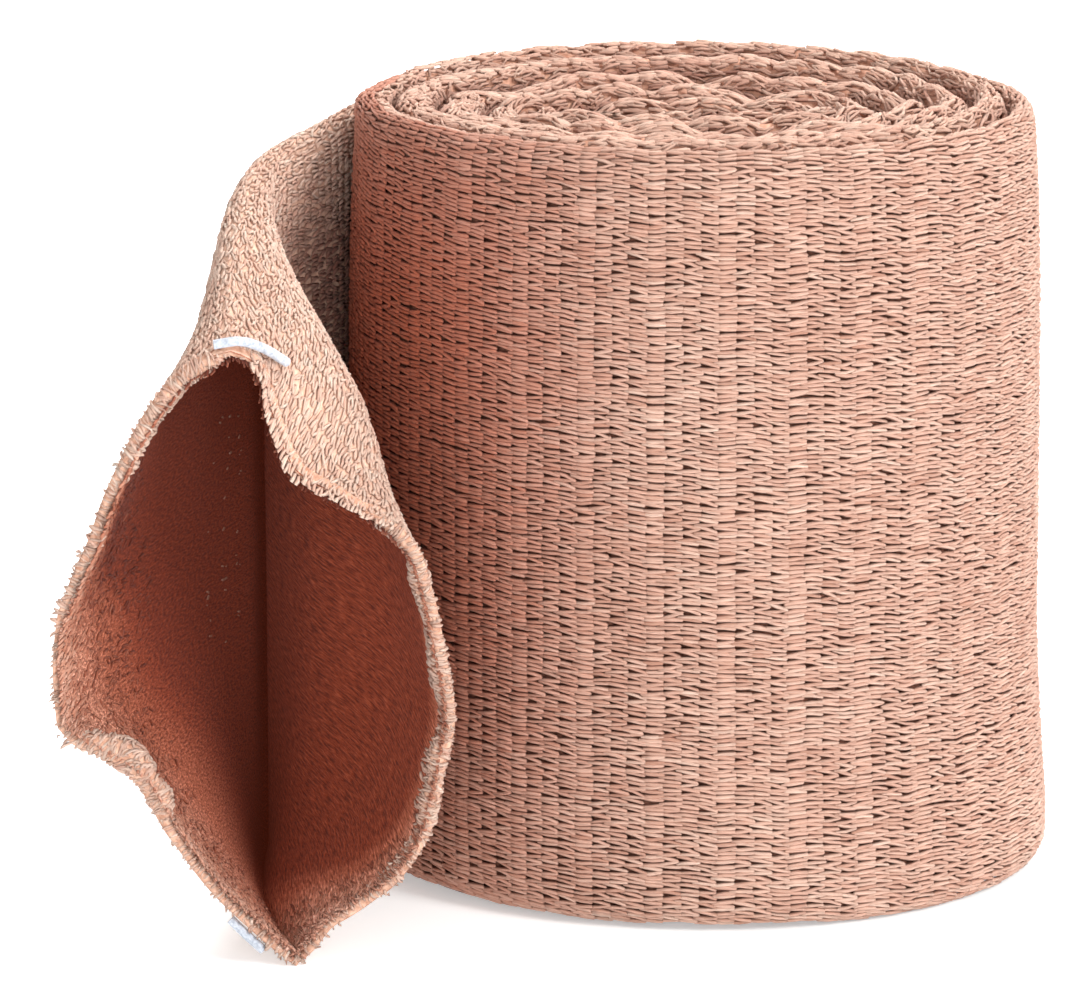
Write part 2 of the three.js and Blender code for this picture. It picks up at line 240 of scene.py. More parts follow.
def section(turn, u):
    """The line across a turn, from the foot of its outer wall over its fold, and the number of its top."""
    calm_power = 3 if turn < 1.5 else 1.5
    leftness = max(0.0, -math.cos(DEPARTURE - turn * 2 * math.pi)) ** calm_power * (0.5 < turn < 3.5)
    bump = column(TURNS, "bump", turn) * (1 - LEFT_CALM * leftness)
    sunk = sum(depth * math.exp(-((turn - at) / width) ** 2) for at, width, depth in POCKETS)
    top = TUBE_WIDTH - column(TURNS, "crest", turn) + bump * np.interp(u, wound, pucker_wave) - sunk
    outer_side = TUBE_WIDTH - column(TURNS, "groove", turn)
    inner_side = TUBE_WIDTH - column(TURNS, "groove", turn + 1)
    outer_side += (top - outer_side) * LEFT_CALM * leftness
    inner_side += (top - inner_side) * LEFT_CALM * leftness
    if turn < 1:
        height = np.concatenate(([0, 0.2, 0.5, 1.0, 1.7], np.linspace(2.6, outer_side, 85)))
        near = (1 + math.cos(DEPARTURE - turn * 2 * math.pi - SWELL_DIRECTION)) / 2
        lower = np.maximum(0, 1 - height / SWELL_HEIGHT) ** 1.5 * np.minimum(height / 0.5, 1)
        x, y = winding_plan(np.full(len(height), turn),
                            column(WALL, "out", height) + SWELL_OUT * near ** 3 * lower)
        wall = np.stack((x, y, height + EDGE_LIFT * (1 - near) * lower), axis=1)
    else:
        height = np.array([outer_side - BELOW_GROOVE, outer_side])
        x, y = winding_plan(np.full(2, turn))
        wall = np.stack((x, y, height), axis=1)
    outer = wall[-1, :2]
    inner = np.array(winding_plan(np.array([turn + 1.0]))).ravel()
    around = np.linspace(0, math.pi, FOLD_POINTS)[1:-1]
    share = (1 - np.cos(around)) / 2
    side = outer_side + (inner_side - outer_side) * share
    within = share * (1 - GROOVE_SHARE)
    fold = np.stack((outer[0] + (inner[0] - outer[0]) * within, outer[1] + (inner[1] - outer[1]) * within,
                     side + (top - side) * np.sin(around) ** 0.9), axis=1)
    last = outer + (inner - outer) * (1 - GROOVE_SHARE)
    down = np.array([[last[0], last[1], inner_side], [last[0], last[1], inner_side - BELOW_GROOVE]])
    return np.concatenate((wall, fold, down)), len(wall) + len(fold) // 2


def wound_cloth(first, last, v_range, step_u, step_v):
    """A grid of the winding's outside between two turns."""
    us = np.linspace(np.interp(first, turns, wound), np.interp(last, turns, wound),
                     int((np.interp(last, turns, wound) - np.interp(first, turns, wound)) / step_u) + 2)
    vs = np.linspace(*v_range, int((v_range[1] - v_range[0]) / step_v) + 2)
    grid = []
    for u in us:
        line, middle_index = section(float(np.interp(u, wound, turns)), u)
        grid.append(even(line[::-1], len(line) - 1 - middle_index, vs))
    return Cloth(np.array(grid), (us[0], us[-1]), v_range, outward=1)


wall_cloth = wound_cloth(0, OUTER_TURN, (-6, 89), 0.8, 0.5)
fold_cloth = wound_cloth(0, INNERMOST, (-8, 8), 0.6, 0.25)
print("wall grid", wall_cloth.points.shape, "folds grid", fold_cloth.points.shape)

# %% [markdown]
# ## The loose end
# The loose end leaves the roll flat, with its two walls together, and opens into a funnel. Its section is
# noted as how far the right and the left wall stand out from a line between the two folds.

# %% Tables of the loose end
FOLDS = [("from", "bottom_x", "bottom_y", "top_x", "top_y", "height"),
         (0, -43.9, -53.0, -50.6, -51.5, 68), (12, -46.6, -41.2, -51.1, -39.8, 73),
         (25, -48.4, -28.2, -50.8, -27.6, 78.3), (39, -48.7, -14.2, -48.7, -14.4, 82),
         (55, -41.9, 0.3, -41.9, 0.3, 84), (TAIL_LENGTH, -35.83, 14.71, -35.83, 14.71, 85)]
OPENING_FROM = (0, 12, 25, 37)
OPENING = [("share", "right", "left"),
           (0, (0, 0, 0, 0), (0, 0, 0, 0)),
           (0.015, (1.3, 1.1, 1.0, 1.1), (1.3, 1.1, 1.0, 1.1)),
           (0.06, (4.4, 3.4, 2.2, 1.7), (4.4, 3.4, 2.2, 1.7)),
           (0.13, (12, 8.5, 4.0, 1.7), (8.5, 7.0, 3.6, 1.7)),
           (0.22, (16.5, 13, 5.5, 1.7), (12.2, 11, 5.5, 1.7)),
           (0.31, (18.5, 15.5, 6.6, 1.7), (15.4, 14.5, 7.0, 1.7)),
           (0.41, (20.2, 17, 7.4, 1.7), (23.4, 17, 8.0, 1.7)),
           (0.53, (19.6, 17, 7.6, 1.7), (23.0, 16.5, 7.5, 1.7)),
           (0.65, (18.5, 16.2, 7.4, 1.7), (19.5, 14, 6.0, 1.7)),
           (0.70, (16.4, 15.6, 7.3, 1.7), (17.5, 12.5, 5.2, 1.7)),
           (0.75, (11, 14.8, 7.2, 1.7), (16, 11, 4.4, 1.7)),
           (0.81, (5.4, 13.6, 7.2, 1.7), (13.8, 9, 3.4, 1.7)),
           (0.90, (3.6, 10, 6.3, 1.7), (10, 5.0, 2.6, 1.7)),
           (0.965, (3.0, 5.2, 4.0, 1.7), (5.5, 2.9, 2.0, 1.7)),
           (0.99, (1.6, 2.0, 1.8, 1.1), (2.0, 1.4, 1.2, 1.1)),
           (1, (0, 0, 0, 0), (0, 0, 0, 0))]


# %% The loose end as a grid
def tail_across(from_mouth):
    def middle_at(at):
        return np.array([column(FOLDS, "bottom_x", at) + column(FOLDS, "top_x", at),
                         column(FOLDS, "bottom_y", at) + column(FOLDS, "top_y", at)])
    run = middle_at(min(from_mouth + 0.5, TAIL_LENGTH)) - middle_at(max(from_mouth - 0.5, 0))
    return np.array([run[1], -run[0]]) / np.linalg.norm(run)


def tail_wall(from_mouth, side, share):
    """Points of one wall at shares of its height: side 1 is the right wall and -1 the left one."""
    shares = [row[0] for row in OPENING[1:]]
    which = 1 if side > 0 else 2
    outs = [smooth_at(OPENING_FROM, row[which], from_mouth) for row in OPENING[1:]]
    out = smooth_at(shares, outs, share) * side
    across = tail_across(from_mouth)
    ends = {name: column(FOLDS, name, from_mouth) for name in FOLDS[0][1:]}
    return np.stack((ends["bottom_x"] + (ends["top_x"] - ends["bottom_x"]) * share + across[0] * out,
                     ends["bottom_y"] + (ends["top_y"] - ends["bottom_y"]) * share + across[1] * out,
                     share * ends["height"]), axis=1)


def tail_cloth(step_u=0.8, step_v=0.5):
    """The whole of the loose end: v is 0 at the top fold, + down the right wall and - down the left."""
    us = np.linspace(0, TAIL_LENGTH, int(TAIL_LENGTH / step_u) + 2)
    half = np.linspace(0, 1, int(TUBE_WIDTH / step_v) + 2)
    share = 1 - np.linspace(0, 1, 400) ** 1.3
    grid = []
    for u in us:
        walls = []
        for side in (1, -1):
            line = tail_wall(u, side, share)
            run = run_along(line)
            walls.append(points_at(line, run, half * run[-1]))
        grid.append(np.concatenate((walls[1][::-1], walls[0][1:])))
    return Cloth(np.array(grid), (0, TAIL_LENGTH), (-TUBE_WIDTH, TUBE_WIDTH), outward=-1)


tail = tail_cloth()
print("loose end grid", tail.points.shape)

# %% [markdown]
# ## One stitch
# A stitch of this knit shows as a V that lies on its side: two legs of yarn that start apart and run
# together towards the mouth of the tube. Each leg starts as a sphere with few segments, because it is
# repeated thousands of times, and is stretched and laid at a slant.

# %% Legs of a stitch
LEG_LENGTH = 2.6
LEG_THICK = 0.66
LEG_HEIGHT = 0.50
LEG_AHEAD = 0.15


def add_leg(bm, length, thick, height, rings=3, sides=3, fuller=1.2):
    """A stretch of yarn along X: a sphere of few segments, with a ridge on top and blunt ends."""
    leg = bmesh.ops.create_uvsphere(bm, u_segments=sides, v_segments=rings + 1, radius=0.5,
                                    calc_uvs=True)["verts"]
    bmesh.ops.rotate(bm, verts=leg, cent=(0, 0, 0), matrix=Matrix.Rotation(math.pi / 2, 3, "Y"))
    bmesh.ops.rotate(bm, verts=leg, cent=(0, 0, 0), matrix=Matrix.Rotation(math.pi / 2, 3, "X"))
    outer_rings = [vert for vert in leg if 0.1 < abs(vert.co.x) < 0.49]
    last = max(vert.co.x for vert in outer_rings)
    bmesh.ops.scale(bm, vec=(0.43 / last, fuller, fuller), verts=outer_rings)
    bmesh.ops.scale(bm, vec=(length, thick, height), verts=leg)
    return leg


def finished_mesh(bm, name):
    bmesh.ops.recalc_face_normals(bm, faces=bm.faces)
    mesh = bpy.data.meshes.new(name)
    bm.to_mesh(mesh)
    bm.free()
    return mesh


def make_strand(name, length, thick, height, rings, sides=3):
    bm = bmesh.new()
    bm.loops.layers.uv.new("yarn")
    add_leg(bm, length, thick, height, rings, sides)
    return finished_mesh(bm, name)


stitch_leg = make_strand("stitch leg", LEG_LENGTH, LEG_THICK, LEG_HEIGHT, 3)
plain_leg = make_strand("plain leg", LEG_LENGTH, LEG_THICK, LEG_HEIGHT, 2)
print("one leg has", len(stitch_leg.vertices), "vertices, a plain one", len(plain_leg.vertices))

# %% [markdown]
# ## Laying stitches
# An Array modifier makes all the copies at one place, and each copy is then moved to its own place in the
# cloth. The bend of the cloth is given to every vertex, so that a leg follows the surface. Real yarn is
# uneven, so each stitch differs a little in thickness, slant and shade. Every fourth column is knitted
# round an elastic yarn, which draws it tight and closes its holes.


# %% Copies of a mesh
def copies(base, count):
    """Many copies of a mesh as one mesh, and the places of their vertices, copy by copy."""
    source = bpy.data.objects.new("copies", base)
    bpy.context.scene.collection.objects.link(source)
    array = source.modifiers.new("array", "ARRAY")
    array.count = count
    array.use_relative_offset = False
    mesh = bpy.data.meshes.new_from_object(source.evaluated_get(bpy.context.evaluated_depsgraph_get()))
    bpy.data.objects.remove(source)
    flat = np.empty(len(mesh.vertices) * 3, np.float32)
    mesh.vertices.foreach_get("co", flat)
    return mesh, flat.reshape(count, len(base.vertices), 3).astype(float)


def add_piece(name, mesh, *materials):
    """Makes a finished piece of a mesh: it is smooth, and belongs to the part's one body."""
    mesh.name = name
    for material in materials:
        mesh.materials.append(material)
    mesh.polygons.foreach_set("use_smooth", np.ones(len(mesh.polygons), bool))
    piece = bpy.data.objects.new(name, mesh)
    bpy.context.scene.collection.objects.link(piece)
    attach(piece, "root")
    triangles = sum(len(p.vertices) - 2 for p in mesh.polygons)
    print(f"{name}: {triangles} triangles")
    return piece


def lay(name, mesh, cloth, u, v, w, material, turned_over=False, **values):
    """Moves every vertex to its own place in the cloth, and stores the values that the material reads."""
    mesh.vertices.foreach_set("co", (cloth.place(u, v, w) * MM).astype(np.float32).ravel())
    for key, value in values.items():
        attribute = mesh.attributes.new(key, "FLOAT", "POINT")
        attribute.data.foreach_set("value", (np.zeros_like(u) + value).astype(np.float32).ravel())
    if cloth.mirrored != turned_over:
        mesh.flip_normals()
    mesh.update()
    return add_piece(name, mesh, material)


# %% Knitting a piece onto the cloth
ELASTIC_EVERY = 4


def valley(flat, soft=0.0):
    """How low each vertex lies in its strand: 0 on its ridge and 1 - soft at its foot."""
    height = flat[:, :, 2]
    return (1 - soft) * (height.max() - height) / (height.max() - height.min())


def knit(name, cloth, spots, base, material, gap, opening, slope, thick, climb, wave, relief, stray, soft,
         stagger=0.1, longer=1.0, deep=0.0, closed=0.0):
    """Lays one stitch at each spot: a column number, counted from the mouth, and its place u and v.

    The two legs start gap apart and open away from the mouth, or stay closed, and the far end of each
    dips under the next column. How uneven they are is given by wave and stray sideways, by relief
    outwards and by stagger along the tube."""
    numbers, u_at, v_at = np.asarray(spots, float).T
    count = len(numbers)
    mesh, flat = copies(base, 2 * count)
    flat = flat.reshape(count, -1, 3)

    def each(spread, middle_value=0.0, legs=1):
        return np.repeat(chance.normal(middle_value, spread, (count, legs)), flat.shape[1] // legs, axis=1)
    tight = (numbers % ELASTIC_EVERY == 0)[:, None]
    side = np.repeat((1.0, -1.0), flat.shape[1] // 2)
    along = flat[:, :, 0] + LEG_AHEAD
    opened = np.minimum(along, 0.7) + 0.25 * np.maximum(along - 0.7, 0)
    shut = 1 - np.broadcast_to(closed, count)[:, None]
    centre = side * (gap / 2 + each(wave * 0.6)
                     + (opening * shut + each(wave)) * np.where(tight, 0.5, 1) * opened)
    centre += (slope + each(stray, 0, 2)) * along + each(wave * 0.6, 0, 2)
    centre += each(wave, 0, 2) * np.sin(along * 2 * math.pi / LEG_LENGTH)
    wander = 0.26 * np.sin(numbers * 0.31 + v_at * 0.05) + 0.16 * np.sin(numbers * 0.9 - v_at * 0.11)
    u = (u_at + chance.normal(0, stagger, count))[:, None] + along * np.broadcast_to(longer, count)[:, None]
    v = (v_at + wander)[:, None] + centre + flat[:, :, 1] * each(0.09, thick, 2) * np.where(tight, 1.12, 1)
    dip = climb * (0.6 - along)
    w = flat[:, :, 2] * thick + dip + each(relief, 0, 2) + each(relief * 0.45, 0, 2) * along
    return lay(name, mesh, cloth, u, v, w, material, shade=np.clip(each(0.15, 0.5, 2), 0, 1),
               deep=np.broadcast_to(deep, count)[:, None], valley=valley(flat, soft))


# %% Scattering strands over the cloth
def scatter(name, base, cloth, u, v, w, material, turn=0.0, size=1.0, stretch=1.0, bow=0.0, tilt=0.0,
            deep=0.0, soft=0.0, ridge=1):
    """Lays a copy at each place, with its own turn within the cloth, size, stretch, bow and tilt.

    A strand's ridge points out of the cloth, or into the tube if ridge is -1."""
    count = len(u)
    mesh, flat = copies(base, count)
    turn, size, stretch, bow, tilt, deep, w = (
        np.broadcast_to(a, count)[:, None] for a in (turn, size, stretch, bow, tilt, deep, w))
    half_length = np.abs(flat[:, :, 0]).max()
    along = flat[:, :, 0] * size * stretch
    across = flat[:, :, 1] * size + bow * (1 - (flat[:, :, 0] / half_length) ** 2)
    up = flat[:, :, 2] * size * ridge + tilt * along
    return lay(name, mesh, cloth, u[:, None] + along * np.cos(turn) - across * np.sin(turn),
               v[:, None] + along * np.sin(turn) + across * np.cos(turn), w + up, material,
               shade=np.clip(chance.normal(0.5, 0.16, count), 0, 1)[:, None], deep=deep,
               turned_over=ridge < 0, valley=valley(flat, soft))


# %% [markdown]
# ## Shader nodes
# A material is a tree of nodes. These short functions add the nodes that every material here is made of,
# and each hands on its output, so that a material reads from the inside out. Cloth is matt, and a little
# sheen stands for its fuzz of loose fibres.


# %% Adding nodes
def new_material(name, roughness, sheen=0.0):
    material = bpy.data.materials.new(name)
    material.use_nodes = True
    shader = material.node_tree.nodes["Principled BSDF"]
    for socket, value in (("Roughness", roughness), ("Specular IOR Level", 0.15), ("Sheen Weight", sheen),
                          ("Sheen Roughness", 0.6)):
        shader.inputs[socket].default_value = value
    return material, material.node_tree, shader


def fill(tree, socket, value):
    """Gives an input its value, or links it to the output that stands for the value."""
    if isinstance(value, bpy.types.NodeSocket):
        tree.links.new(value, socket)
    else:
        socket.default_value = value


def node(tree, kind, **values):
    """A new node with its settings and its inputs. An input's name has _ where Blender has a space."""
    made = tree.nodes.new(kind)
    for name, value in values.items():
        if name.replace("_", " ") in made.inputs:
            fill(tree, made.inputs[name.replace("_", " ")], value)
        else:
            setattr(made, name, value)
    return made


def stored(tree, name, output="Fac"):
    """A value that was stored at every vertex of the piece."""
    return node(tree, "ShaderNodeAttribute", attribute_name=name).outputs[output]


def object_place(tree):
    return tree.nodes.new("ShaderNodeTexCoord").outputs["Object"]


def noise(tree, place, scale, **values):
    return node(tree, "ShaderNodeTexNoise", Vector=place, Scale=scale, **values).outputs["Fac"]


def maths(tree, operation, *operands, kind="ShaderNodeMath"):
    made = node(tree, kind, operation=operation)
    for socket, value in zip(made.inputs, operands):
        fill(tree, socket, value)
    return made.outputs[0]


def ranged(tree, value, low, high):
    """A value that goes from 0 to 1 between two limits."""
    return node(tree, "ShaderNodeMapRange", From_Min=low, From_Max=high, Value=value).outputs["Result"]


def mixed(tree, factor, first, second, blend_type="MIX"):
    made = node(tree, "ShaderNodeMix", data_type="RGBA", blend_type=blend_type, Factor=factor)
    for socket, value in zip((i for i in made.inputs if i.type == "RGBA"), (first, second)):
        fill(tree, socket, value)
    return next(o for o in made.outputs if o.type == "RGBA")


def colour_steps(tree, value, *steps):
    """A colour that goes through steps: each is a place between 0 and 1, and its colour."""
    ramp = node(tree, "ShaderNodeValToRGB", Fac=value)
    elements = ramp.color_ramp.elements
    elements[0].position, elements[0].color = steps[0][0], (*steps[0][1], 1)
    elements[1].position, elements[1].color = steps[-1][0], (*steps[-1][1], 1)
    for position, colour in steps[1:-1]:
        elements.new(position).color = (*colour, 1)
    return ramp.outputs["Color"]


def finish(tree, shader, colour, height=None, strength=1.0, distance=0.0003):
    """Links a material's colour, and the height that its bump is made of."""
    fill(tree, shader.inputs["Base Color"], colour)
    if height:
        bump = node(tree, "ShaderNodeBump", Strength=strength, Distance=distance, Height=height)
        fill(tree, shader.inputs["Normal"], bump.outputs["Normal"])


# %% [markdown]
# ## Materials
# The yarn is spun from fibres of slightly different colours, so that it looks heathered. Each stitch has
# a shade of its own, and a fine noise gives the fibres. Two stored values paint shade into the colour.
# The first, how low a place lies in its strand, darkens the strand towards its foot, where little light
# gets in. The second is painted shade that turns it to the deep red brown of a hollow, where light goes
# from wall to wall and loses its blue each time. On some loose strands it varies their tone at random.

# %% Yarn
# Painted shade: at the foot of a strand, and inside the tube from its mouth to deep in.
VALLEY_SHADE = (0.42, 0.26, 0.20, 1)
HOLLOW_SHADE_TONES = [(0.0, (0.95, 0.53, 0.39)), (0.25, (0.78, 0.34, 0.22)), (0.55, (0.50, 0.145, 0.075)),
                (0.85, (0.27, 0.048, 0.018)), (1.0, (0.20, 0.029, 0.009))]


def hollow_shade_colour(tree):
    """The painted shade inside the tube: pale at its mouth and a dark red deep inside."""
    return colour_steps(tree, stored(tree, "deep"), *HOLLOW_SHADE_TONES)


def with_deep_shade(tree, colour, deep_shade_tone):
    """A colour with painted shade: it turns to its own deep shade tone, or else takes the painted shade
    inside the tube.
    """
    if deep_shade_tone is None:
        return mixed(tree, 1.0, hollow_shade_colour(tree), colour, "MULTIPLY")
    return mixed(tree, stored(tree, "deep"), colour, (*deep_shade_tone, 1))


def yarn_material(name, dark, middle_tone, light, deep_shade_tone, sharp=2.2):
    material, tree, shader = new_material(name, 0.95, 0.10)
    shade = stored(tree, "shade")
    yarn_uv = node(tree, "ShaderNodeUVMap", uv_map="yarn").outputs["UV"]
    along, across, _ = node(tree, "ShaderNodeSeparateXYZ", Vector=yarn_uv).outputs
    own_place = node(tree, "ShaderNodeCombineXYZ", X=maths(tree, "MULTIPLY", along, 7.0), Y=across,
                     Z=maths(tree, "MULTIPLY", shade, 40.0)).outputs["Vector"]
    fibre = noise(tree, own_place, 2.4, Detail=4.0, Roughness=0.7)
    patch = noise(tree, object_place(tree), 70.0, Detail=2.0)
    heather = maths(tree, "MULTIPLY_ADD", patch, 0.5, maths(tree, "MULTIPLY_ADD", fibre, 1.1, shade))
    tones = colour_steps(tree, ranged(tree, heather, 0.8, 1.8), (0.0, dark), (0.5, middle_tone), (1.0, light))
    # painted shade towards the foot of each strand
    low = maths(tree, "POWER", stored(tree, "valley"), sharp)
    colour = mixed(tree, low, with_deep_shade(tree, tones, deep_shade_tone), VALLEY_SHADE, "MULTIPLY")
    finish(tree, shader, colour, fibre, strength=0.9)
    return material


# Painted shade for hollows and grooves, and the warm painted shade of the wall that faces the loose end.
DEEP_SHADE_TONE = (0.205, 0.027, 0.007)
WALL_WARM_SHADE_TONE = (0.58, 0.125, 0.05)
yarn = yarn_material("cotton yarn", (0.68, 0.36, 0.27), (0.85, 0.54, 0.42), (0.94, 0.69, 0.56), DEEP_SHADE_TONE)
wall_yarn = yarn_material("stretched cotton yarn", (0.60, 0.31, 0.22), (0.80, 0.50, 0.39),
                          (0.90, 0.66, 0.54), WALL_WARM_SHADE_TONE, sharp=1.6)
slack_yarn = yarn_material("slack cotton yarn", (0.80, 0.46, 0.35), (0.93, 0.65, 0.52),
                           (0.98, 0.80, 0.68), DEEP_SHADE_TONE)
# Pale tones for the inside, which the painted shade of the hollow darkens.
inner_yarn = yarn_material("cotton yarn on the inside", (0.88, 0.80, 0.76), (1.0, 1.0, 1.0),
                           (1.05, 1.25, 1.35), None)
print("yarns:", yarn.name, wall_yarn.name, slack_yarn.name, inner_yarn.name)


# %% Backing between the stitches
def backing_material(name, tones, lit_top_tones=None):
    """The cloth seen between the stitches. It may have lighter tones on the folds on top of the roll, which
    are painted light from above.
    """
    material, tree, shader = new_material(name, 1.0)
    grain = noise(tree, object_place(tree), 1500.0)
    colour = colour_steps(tree, grain, (0.3, tones[0]), (0.7, tones[1]))
    if lit_top_tones:
        height = node(tree, "ShaderNodeSeparateXYZ", Vector=object_place(tree)).outputs["Z"]
        lit_top_colour = colour_steps(tree, grain, (0.3, lit_top_tones[0]), (0.7, lit_top_tones[1]))
        colour = mixed(tree, ranged(tree, height, 0.0815, 0.0845), colour, lit_top_colour)
    finish(tree, shader, colour)
    return material


# The dark tones are painted shade in the holes between the stitches, and the lighter top tones are painted
# light on the folds.
shaded_backing = backing_material("cloth between the stitches", ((0.03, 0.010, 0.006), (0.26, 0.11, 0.075)),
                           ((0.46, 0.21, 0.14), (0.74, 0.44, 0.32)))
soft_backing = backing_material("cloth between the fine stitches", ((0.62, 0.38, 0.28), (0.84, 0.58, 0.45)))
edge_cloth = backing_material("cloth of the rolled edge", ((0.42, 0.21, 0.14), (0.74, 0.47, 0.35)))
print("backings:", shaded_backing.name, soft_backing.name, edge_cloth.name)

# %% [markdown]
# The inside of the tube has a grain that follows the cloth. On the right wall the cloth is stretched, so
# the grain is drawn out at a slant. The cloth is thin enough to let a trace of red light through, which a
# very faint emission stands for.

# %% Cloth inside the tube
SLANT = 0.3
GRAIN_LEFT = (2.4, 3.6, 1.0)
GRAIN_RIGHT = (0.8, 3.9, 1.0)
THROUGH = (0.028, 0.0045, 0.0018, 1)
inside_cloth, tree, shader = new_material("cloth inside the tube", 1.0, 0.05)
place = stored(tree, "cloth_place", "Vector")
along, around, _ = node(tree, "ShaderNodeSeparateXYZ", Vector=place).outputs
slanted = node(tree, "ShaderNodeCombineXYZ", X=along, Y=maths(tree, "MULTIPLY_ADD", along, SLANT, around))
left_grain, right_grain = (
    noise(tree, maths(tree, "MULTIPLY", where, size, kind="ShaderNodeVectorMath"), 1.0, Detail=3.0,
          Roughness=0.65)
    for where, size in ((place, GRAIN_LEFT), (slanted.outputs["Vector"], GRAIN_RIGHT)))
grain = node(tree, "ShaderNodeMix", data_type="FLOAT", Factor=maths(tree, "GREATER_THAN", around, 0.0),
             A=left_grain, B=right_grain).outputs["Result"]
grains = colour_steps(tree, grain, (0.38, (0.40, 0.32, 0.30)), (0.48, (0.90, 0.88, 0.86)),
                      (0.55, (1.1, 1.15, 1.2)), (0.66, (1.7, 2.1, 2.4)))
# The grain is darkened by the painted shade inside the tube.
finish(tree, shader, mixed(tree, 1.0, hollow_shade_colour(tree), grains, "MULTIPLY"), grain, distance=0.0007)
shader.inputs["Emission Color"].default_value = THROUGH
shader.inputs["Emission Strength"].default_value = 1.0
print("inside:", inside_cloth.name)

# %% Elastic thread
elastic, tree, shader = new_material("elastic thread", 0.7, 0.3)
ribs = noise(tree, object_place(tree), 2500.0, Detail=3.0)
finish(tree, shader, colour_steps(tree, ribs, (0.3, (0.34, 0.38, 0.45)), (0.7, (0.62, 0.66, 0.74))), ribs,
       strength=0.6)
print("thread:", elastic.name)

# %% [markdown]
# ## The wound tube
# The backing is the wound tube itself: a flat tube in a spiral, a little slimmer than the real one so
# that the stitches lie on it. It starts as a plain grid, which is bent round the section and along the
# winding, joined along its seam and closed at both ends.

# %% Backing of the roll
UNDER = 0.42  # how far the walls of the backing lie under the middle of the stitches
UNDER_TOP = 0.08  # and how far its top does, above the height in the next line
UNDER_TOP_FROM = 60
TURN_BOTTOM = 0.6
LAST_BOTTOM = 0.4
RINGS = 330
RING_POINTS = 52


def wound_loop(turn, u):
    """One closed line round the section of the flat tube at a place of the winding."""
    line, _ = section(turn, u)
    if turn >= 1:
        x, y = winding_plan(np.full(2, turn))
        line = np.concatenate((np.stack((x, y, np.array([TURN_BOTTOM, 4.0])), axis=1), line))
    x, y, _ = line[-1]
    return np.concatenate((line, [[x, y, 4.0], [x, y, LAST_BOTTOM if turn < 1 else TURN_BOTTOM]]))


def closed_resample(line, count):
    line = np.concatenate((line, line[:1]))
    run = run_along(line)
    return points_at(line, run, np.linspace(0, run[-1], count + 1)[:-1])


def grid_through(bm, places):
    """Puts the vertices of a new grid at rows of places, and gives them back in that order.

    The faces in the second half of the rows get the second material."""
    rows, columns = places.shape[:2]
    bmesh.ops.create_grid(bm, x_segments=columns - 1, y_segments=rows - 1, size=0.5)
    for face in bm.faces:
        face.material_index = 0 if face.calc_center_median().y < 0 else 1
    order = sorted(bm.verts, key=lambda vert: (round(vert.co.y, 6), round(vert.co.x, 6)))
    for vert, place in zip(order, places.reshape(-1, 3)):
        vert.co = place
    return order


def bent_grid(name, rings):
    """A closed tube through rings of points: a grid whose long edges are joined and whose ends are filled."""
    bm = bmesh.new()
    grid_through(bm, np.concatenate((rings, rings[:, :1]), axis=1))
    bmesh.ops.remove_doubles(bm, verts=bm.verts, dist=1e-7)
    bmesh.ops.holes_fill(bm, edges=[e for e in bm.edges if e.is_boundary], sides=0)
    bmesh.ops.triangulate(bm, faces=[f for f in bm.faces if len(f.verts) > 4])
    for face in bm.faces:
        face.material_index = 0
    return finished_mesh(bm, name)


rings = []
for u in np.linspace(0, WOUND_LENGTH, RINGS):
    ring = closed_resample(wound_loop(float(np.interp(u, wound, turns)), u), RING_POINTS)
    inward = ring.mean(axis=0)[:2] - ring[:, :2]
    distance = np.maximum(np.linalg.norm(inward, axis=1, keepdims=True), 1e-6)
    ring[:, :2] += inward / distance * np.minimum(UNDER, distance * 0.5)
    ring[:, 2] -= np.where(ring[:, 2] > UNDER_TOP_FROM, UNDER_TOP, 0)
    rings.append(ring)
wound_tube = add_piece("wound_tube", bent_grid("wound tube", np.array(rings) * MM), shaded_backing)
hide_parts("roll")

# %% [markdown]
# Round the wall the tube is stretched, so its stitches lie straight and close. Those at the back are never
# seen from near and get a leg with fewer faces. On the left the roll faces the loose end. The warm red of
# the light that goes back and forth between the two is painted shade in the colour of the stitches there,
# which are also drawn more closed.

# %% Stitches of the roll
WALL_STITCH = dict(gap=0.54, opening=0.13, slope=-0.04, thick=1.06, climb=0.06, wave=0.06, relief=0.04,
                   stray=0.045, soft=0.1)
WARM_SHADE_ROUND = [("turn", "deep"), (0, 0.9), (0.12, 0.4), (0.2, 0), (0.69, 0), (0.726, 0.1), (0.744, 0.22),
              (0.764, 0.4), (0.785, 0.6), (0.808, 0.75), (0.835, 0.88), (0.87, 0.92), (1, 0.92)]
WARM_SHADE_DOWN = [("v", "share"), (0, 0.5), (6, 0.75), (24, 1), (55, 0.9), (75, 0.55), (88, 0.35)]
BACK_SHARE = 0.42
RIGHT_SHARE = 0.71
first_column = math.ceil(TAIL_LENGTH / COLUMN)
wall_columns = np.arange(first_column, int((TAIL_LENGTH + np.interp(OUTER_TURN, turns, wound)) / COLUMN))
wales = np.arange(0.4, TUBE_WIDTH + 0.1, WALE)
back_end, right_end = int(len(wall_columns) * BACK_SHARE), int(len(wall_columns) * RIGHT_SHARE)
for name, part, base in (("wall_knit_back", wall_columns[:back_end], plain_leg),
                         ("wall_knit_right", wall_columns[back_end:right_end], stitch_leg),
                         ("wall_knit_left", wall_columns[right_end:], stitch_leg)):
    spots = np.array([(c, c * COLUMN - TAIL_LENGTH, v) for c in part for v in wales])
    # painted warm shade where the roll faces the loose end
    warm_shade = (column(WARM_SHADE_ROUND, "deep", np.interp(spots[:, 1], wound, turns))
            * column(WARM_SHADE_DOWN, "share", spots[:, 2]))
    knit(name, wall_cloth, spots, base, wall_yarn, **WALL_STITCH, deep=warm_shade, closed=0.8 * warm_shade)

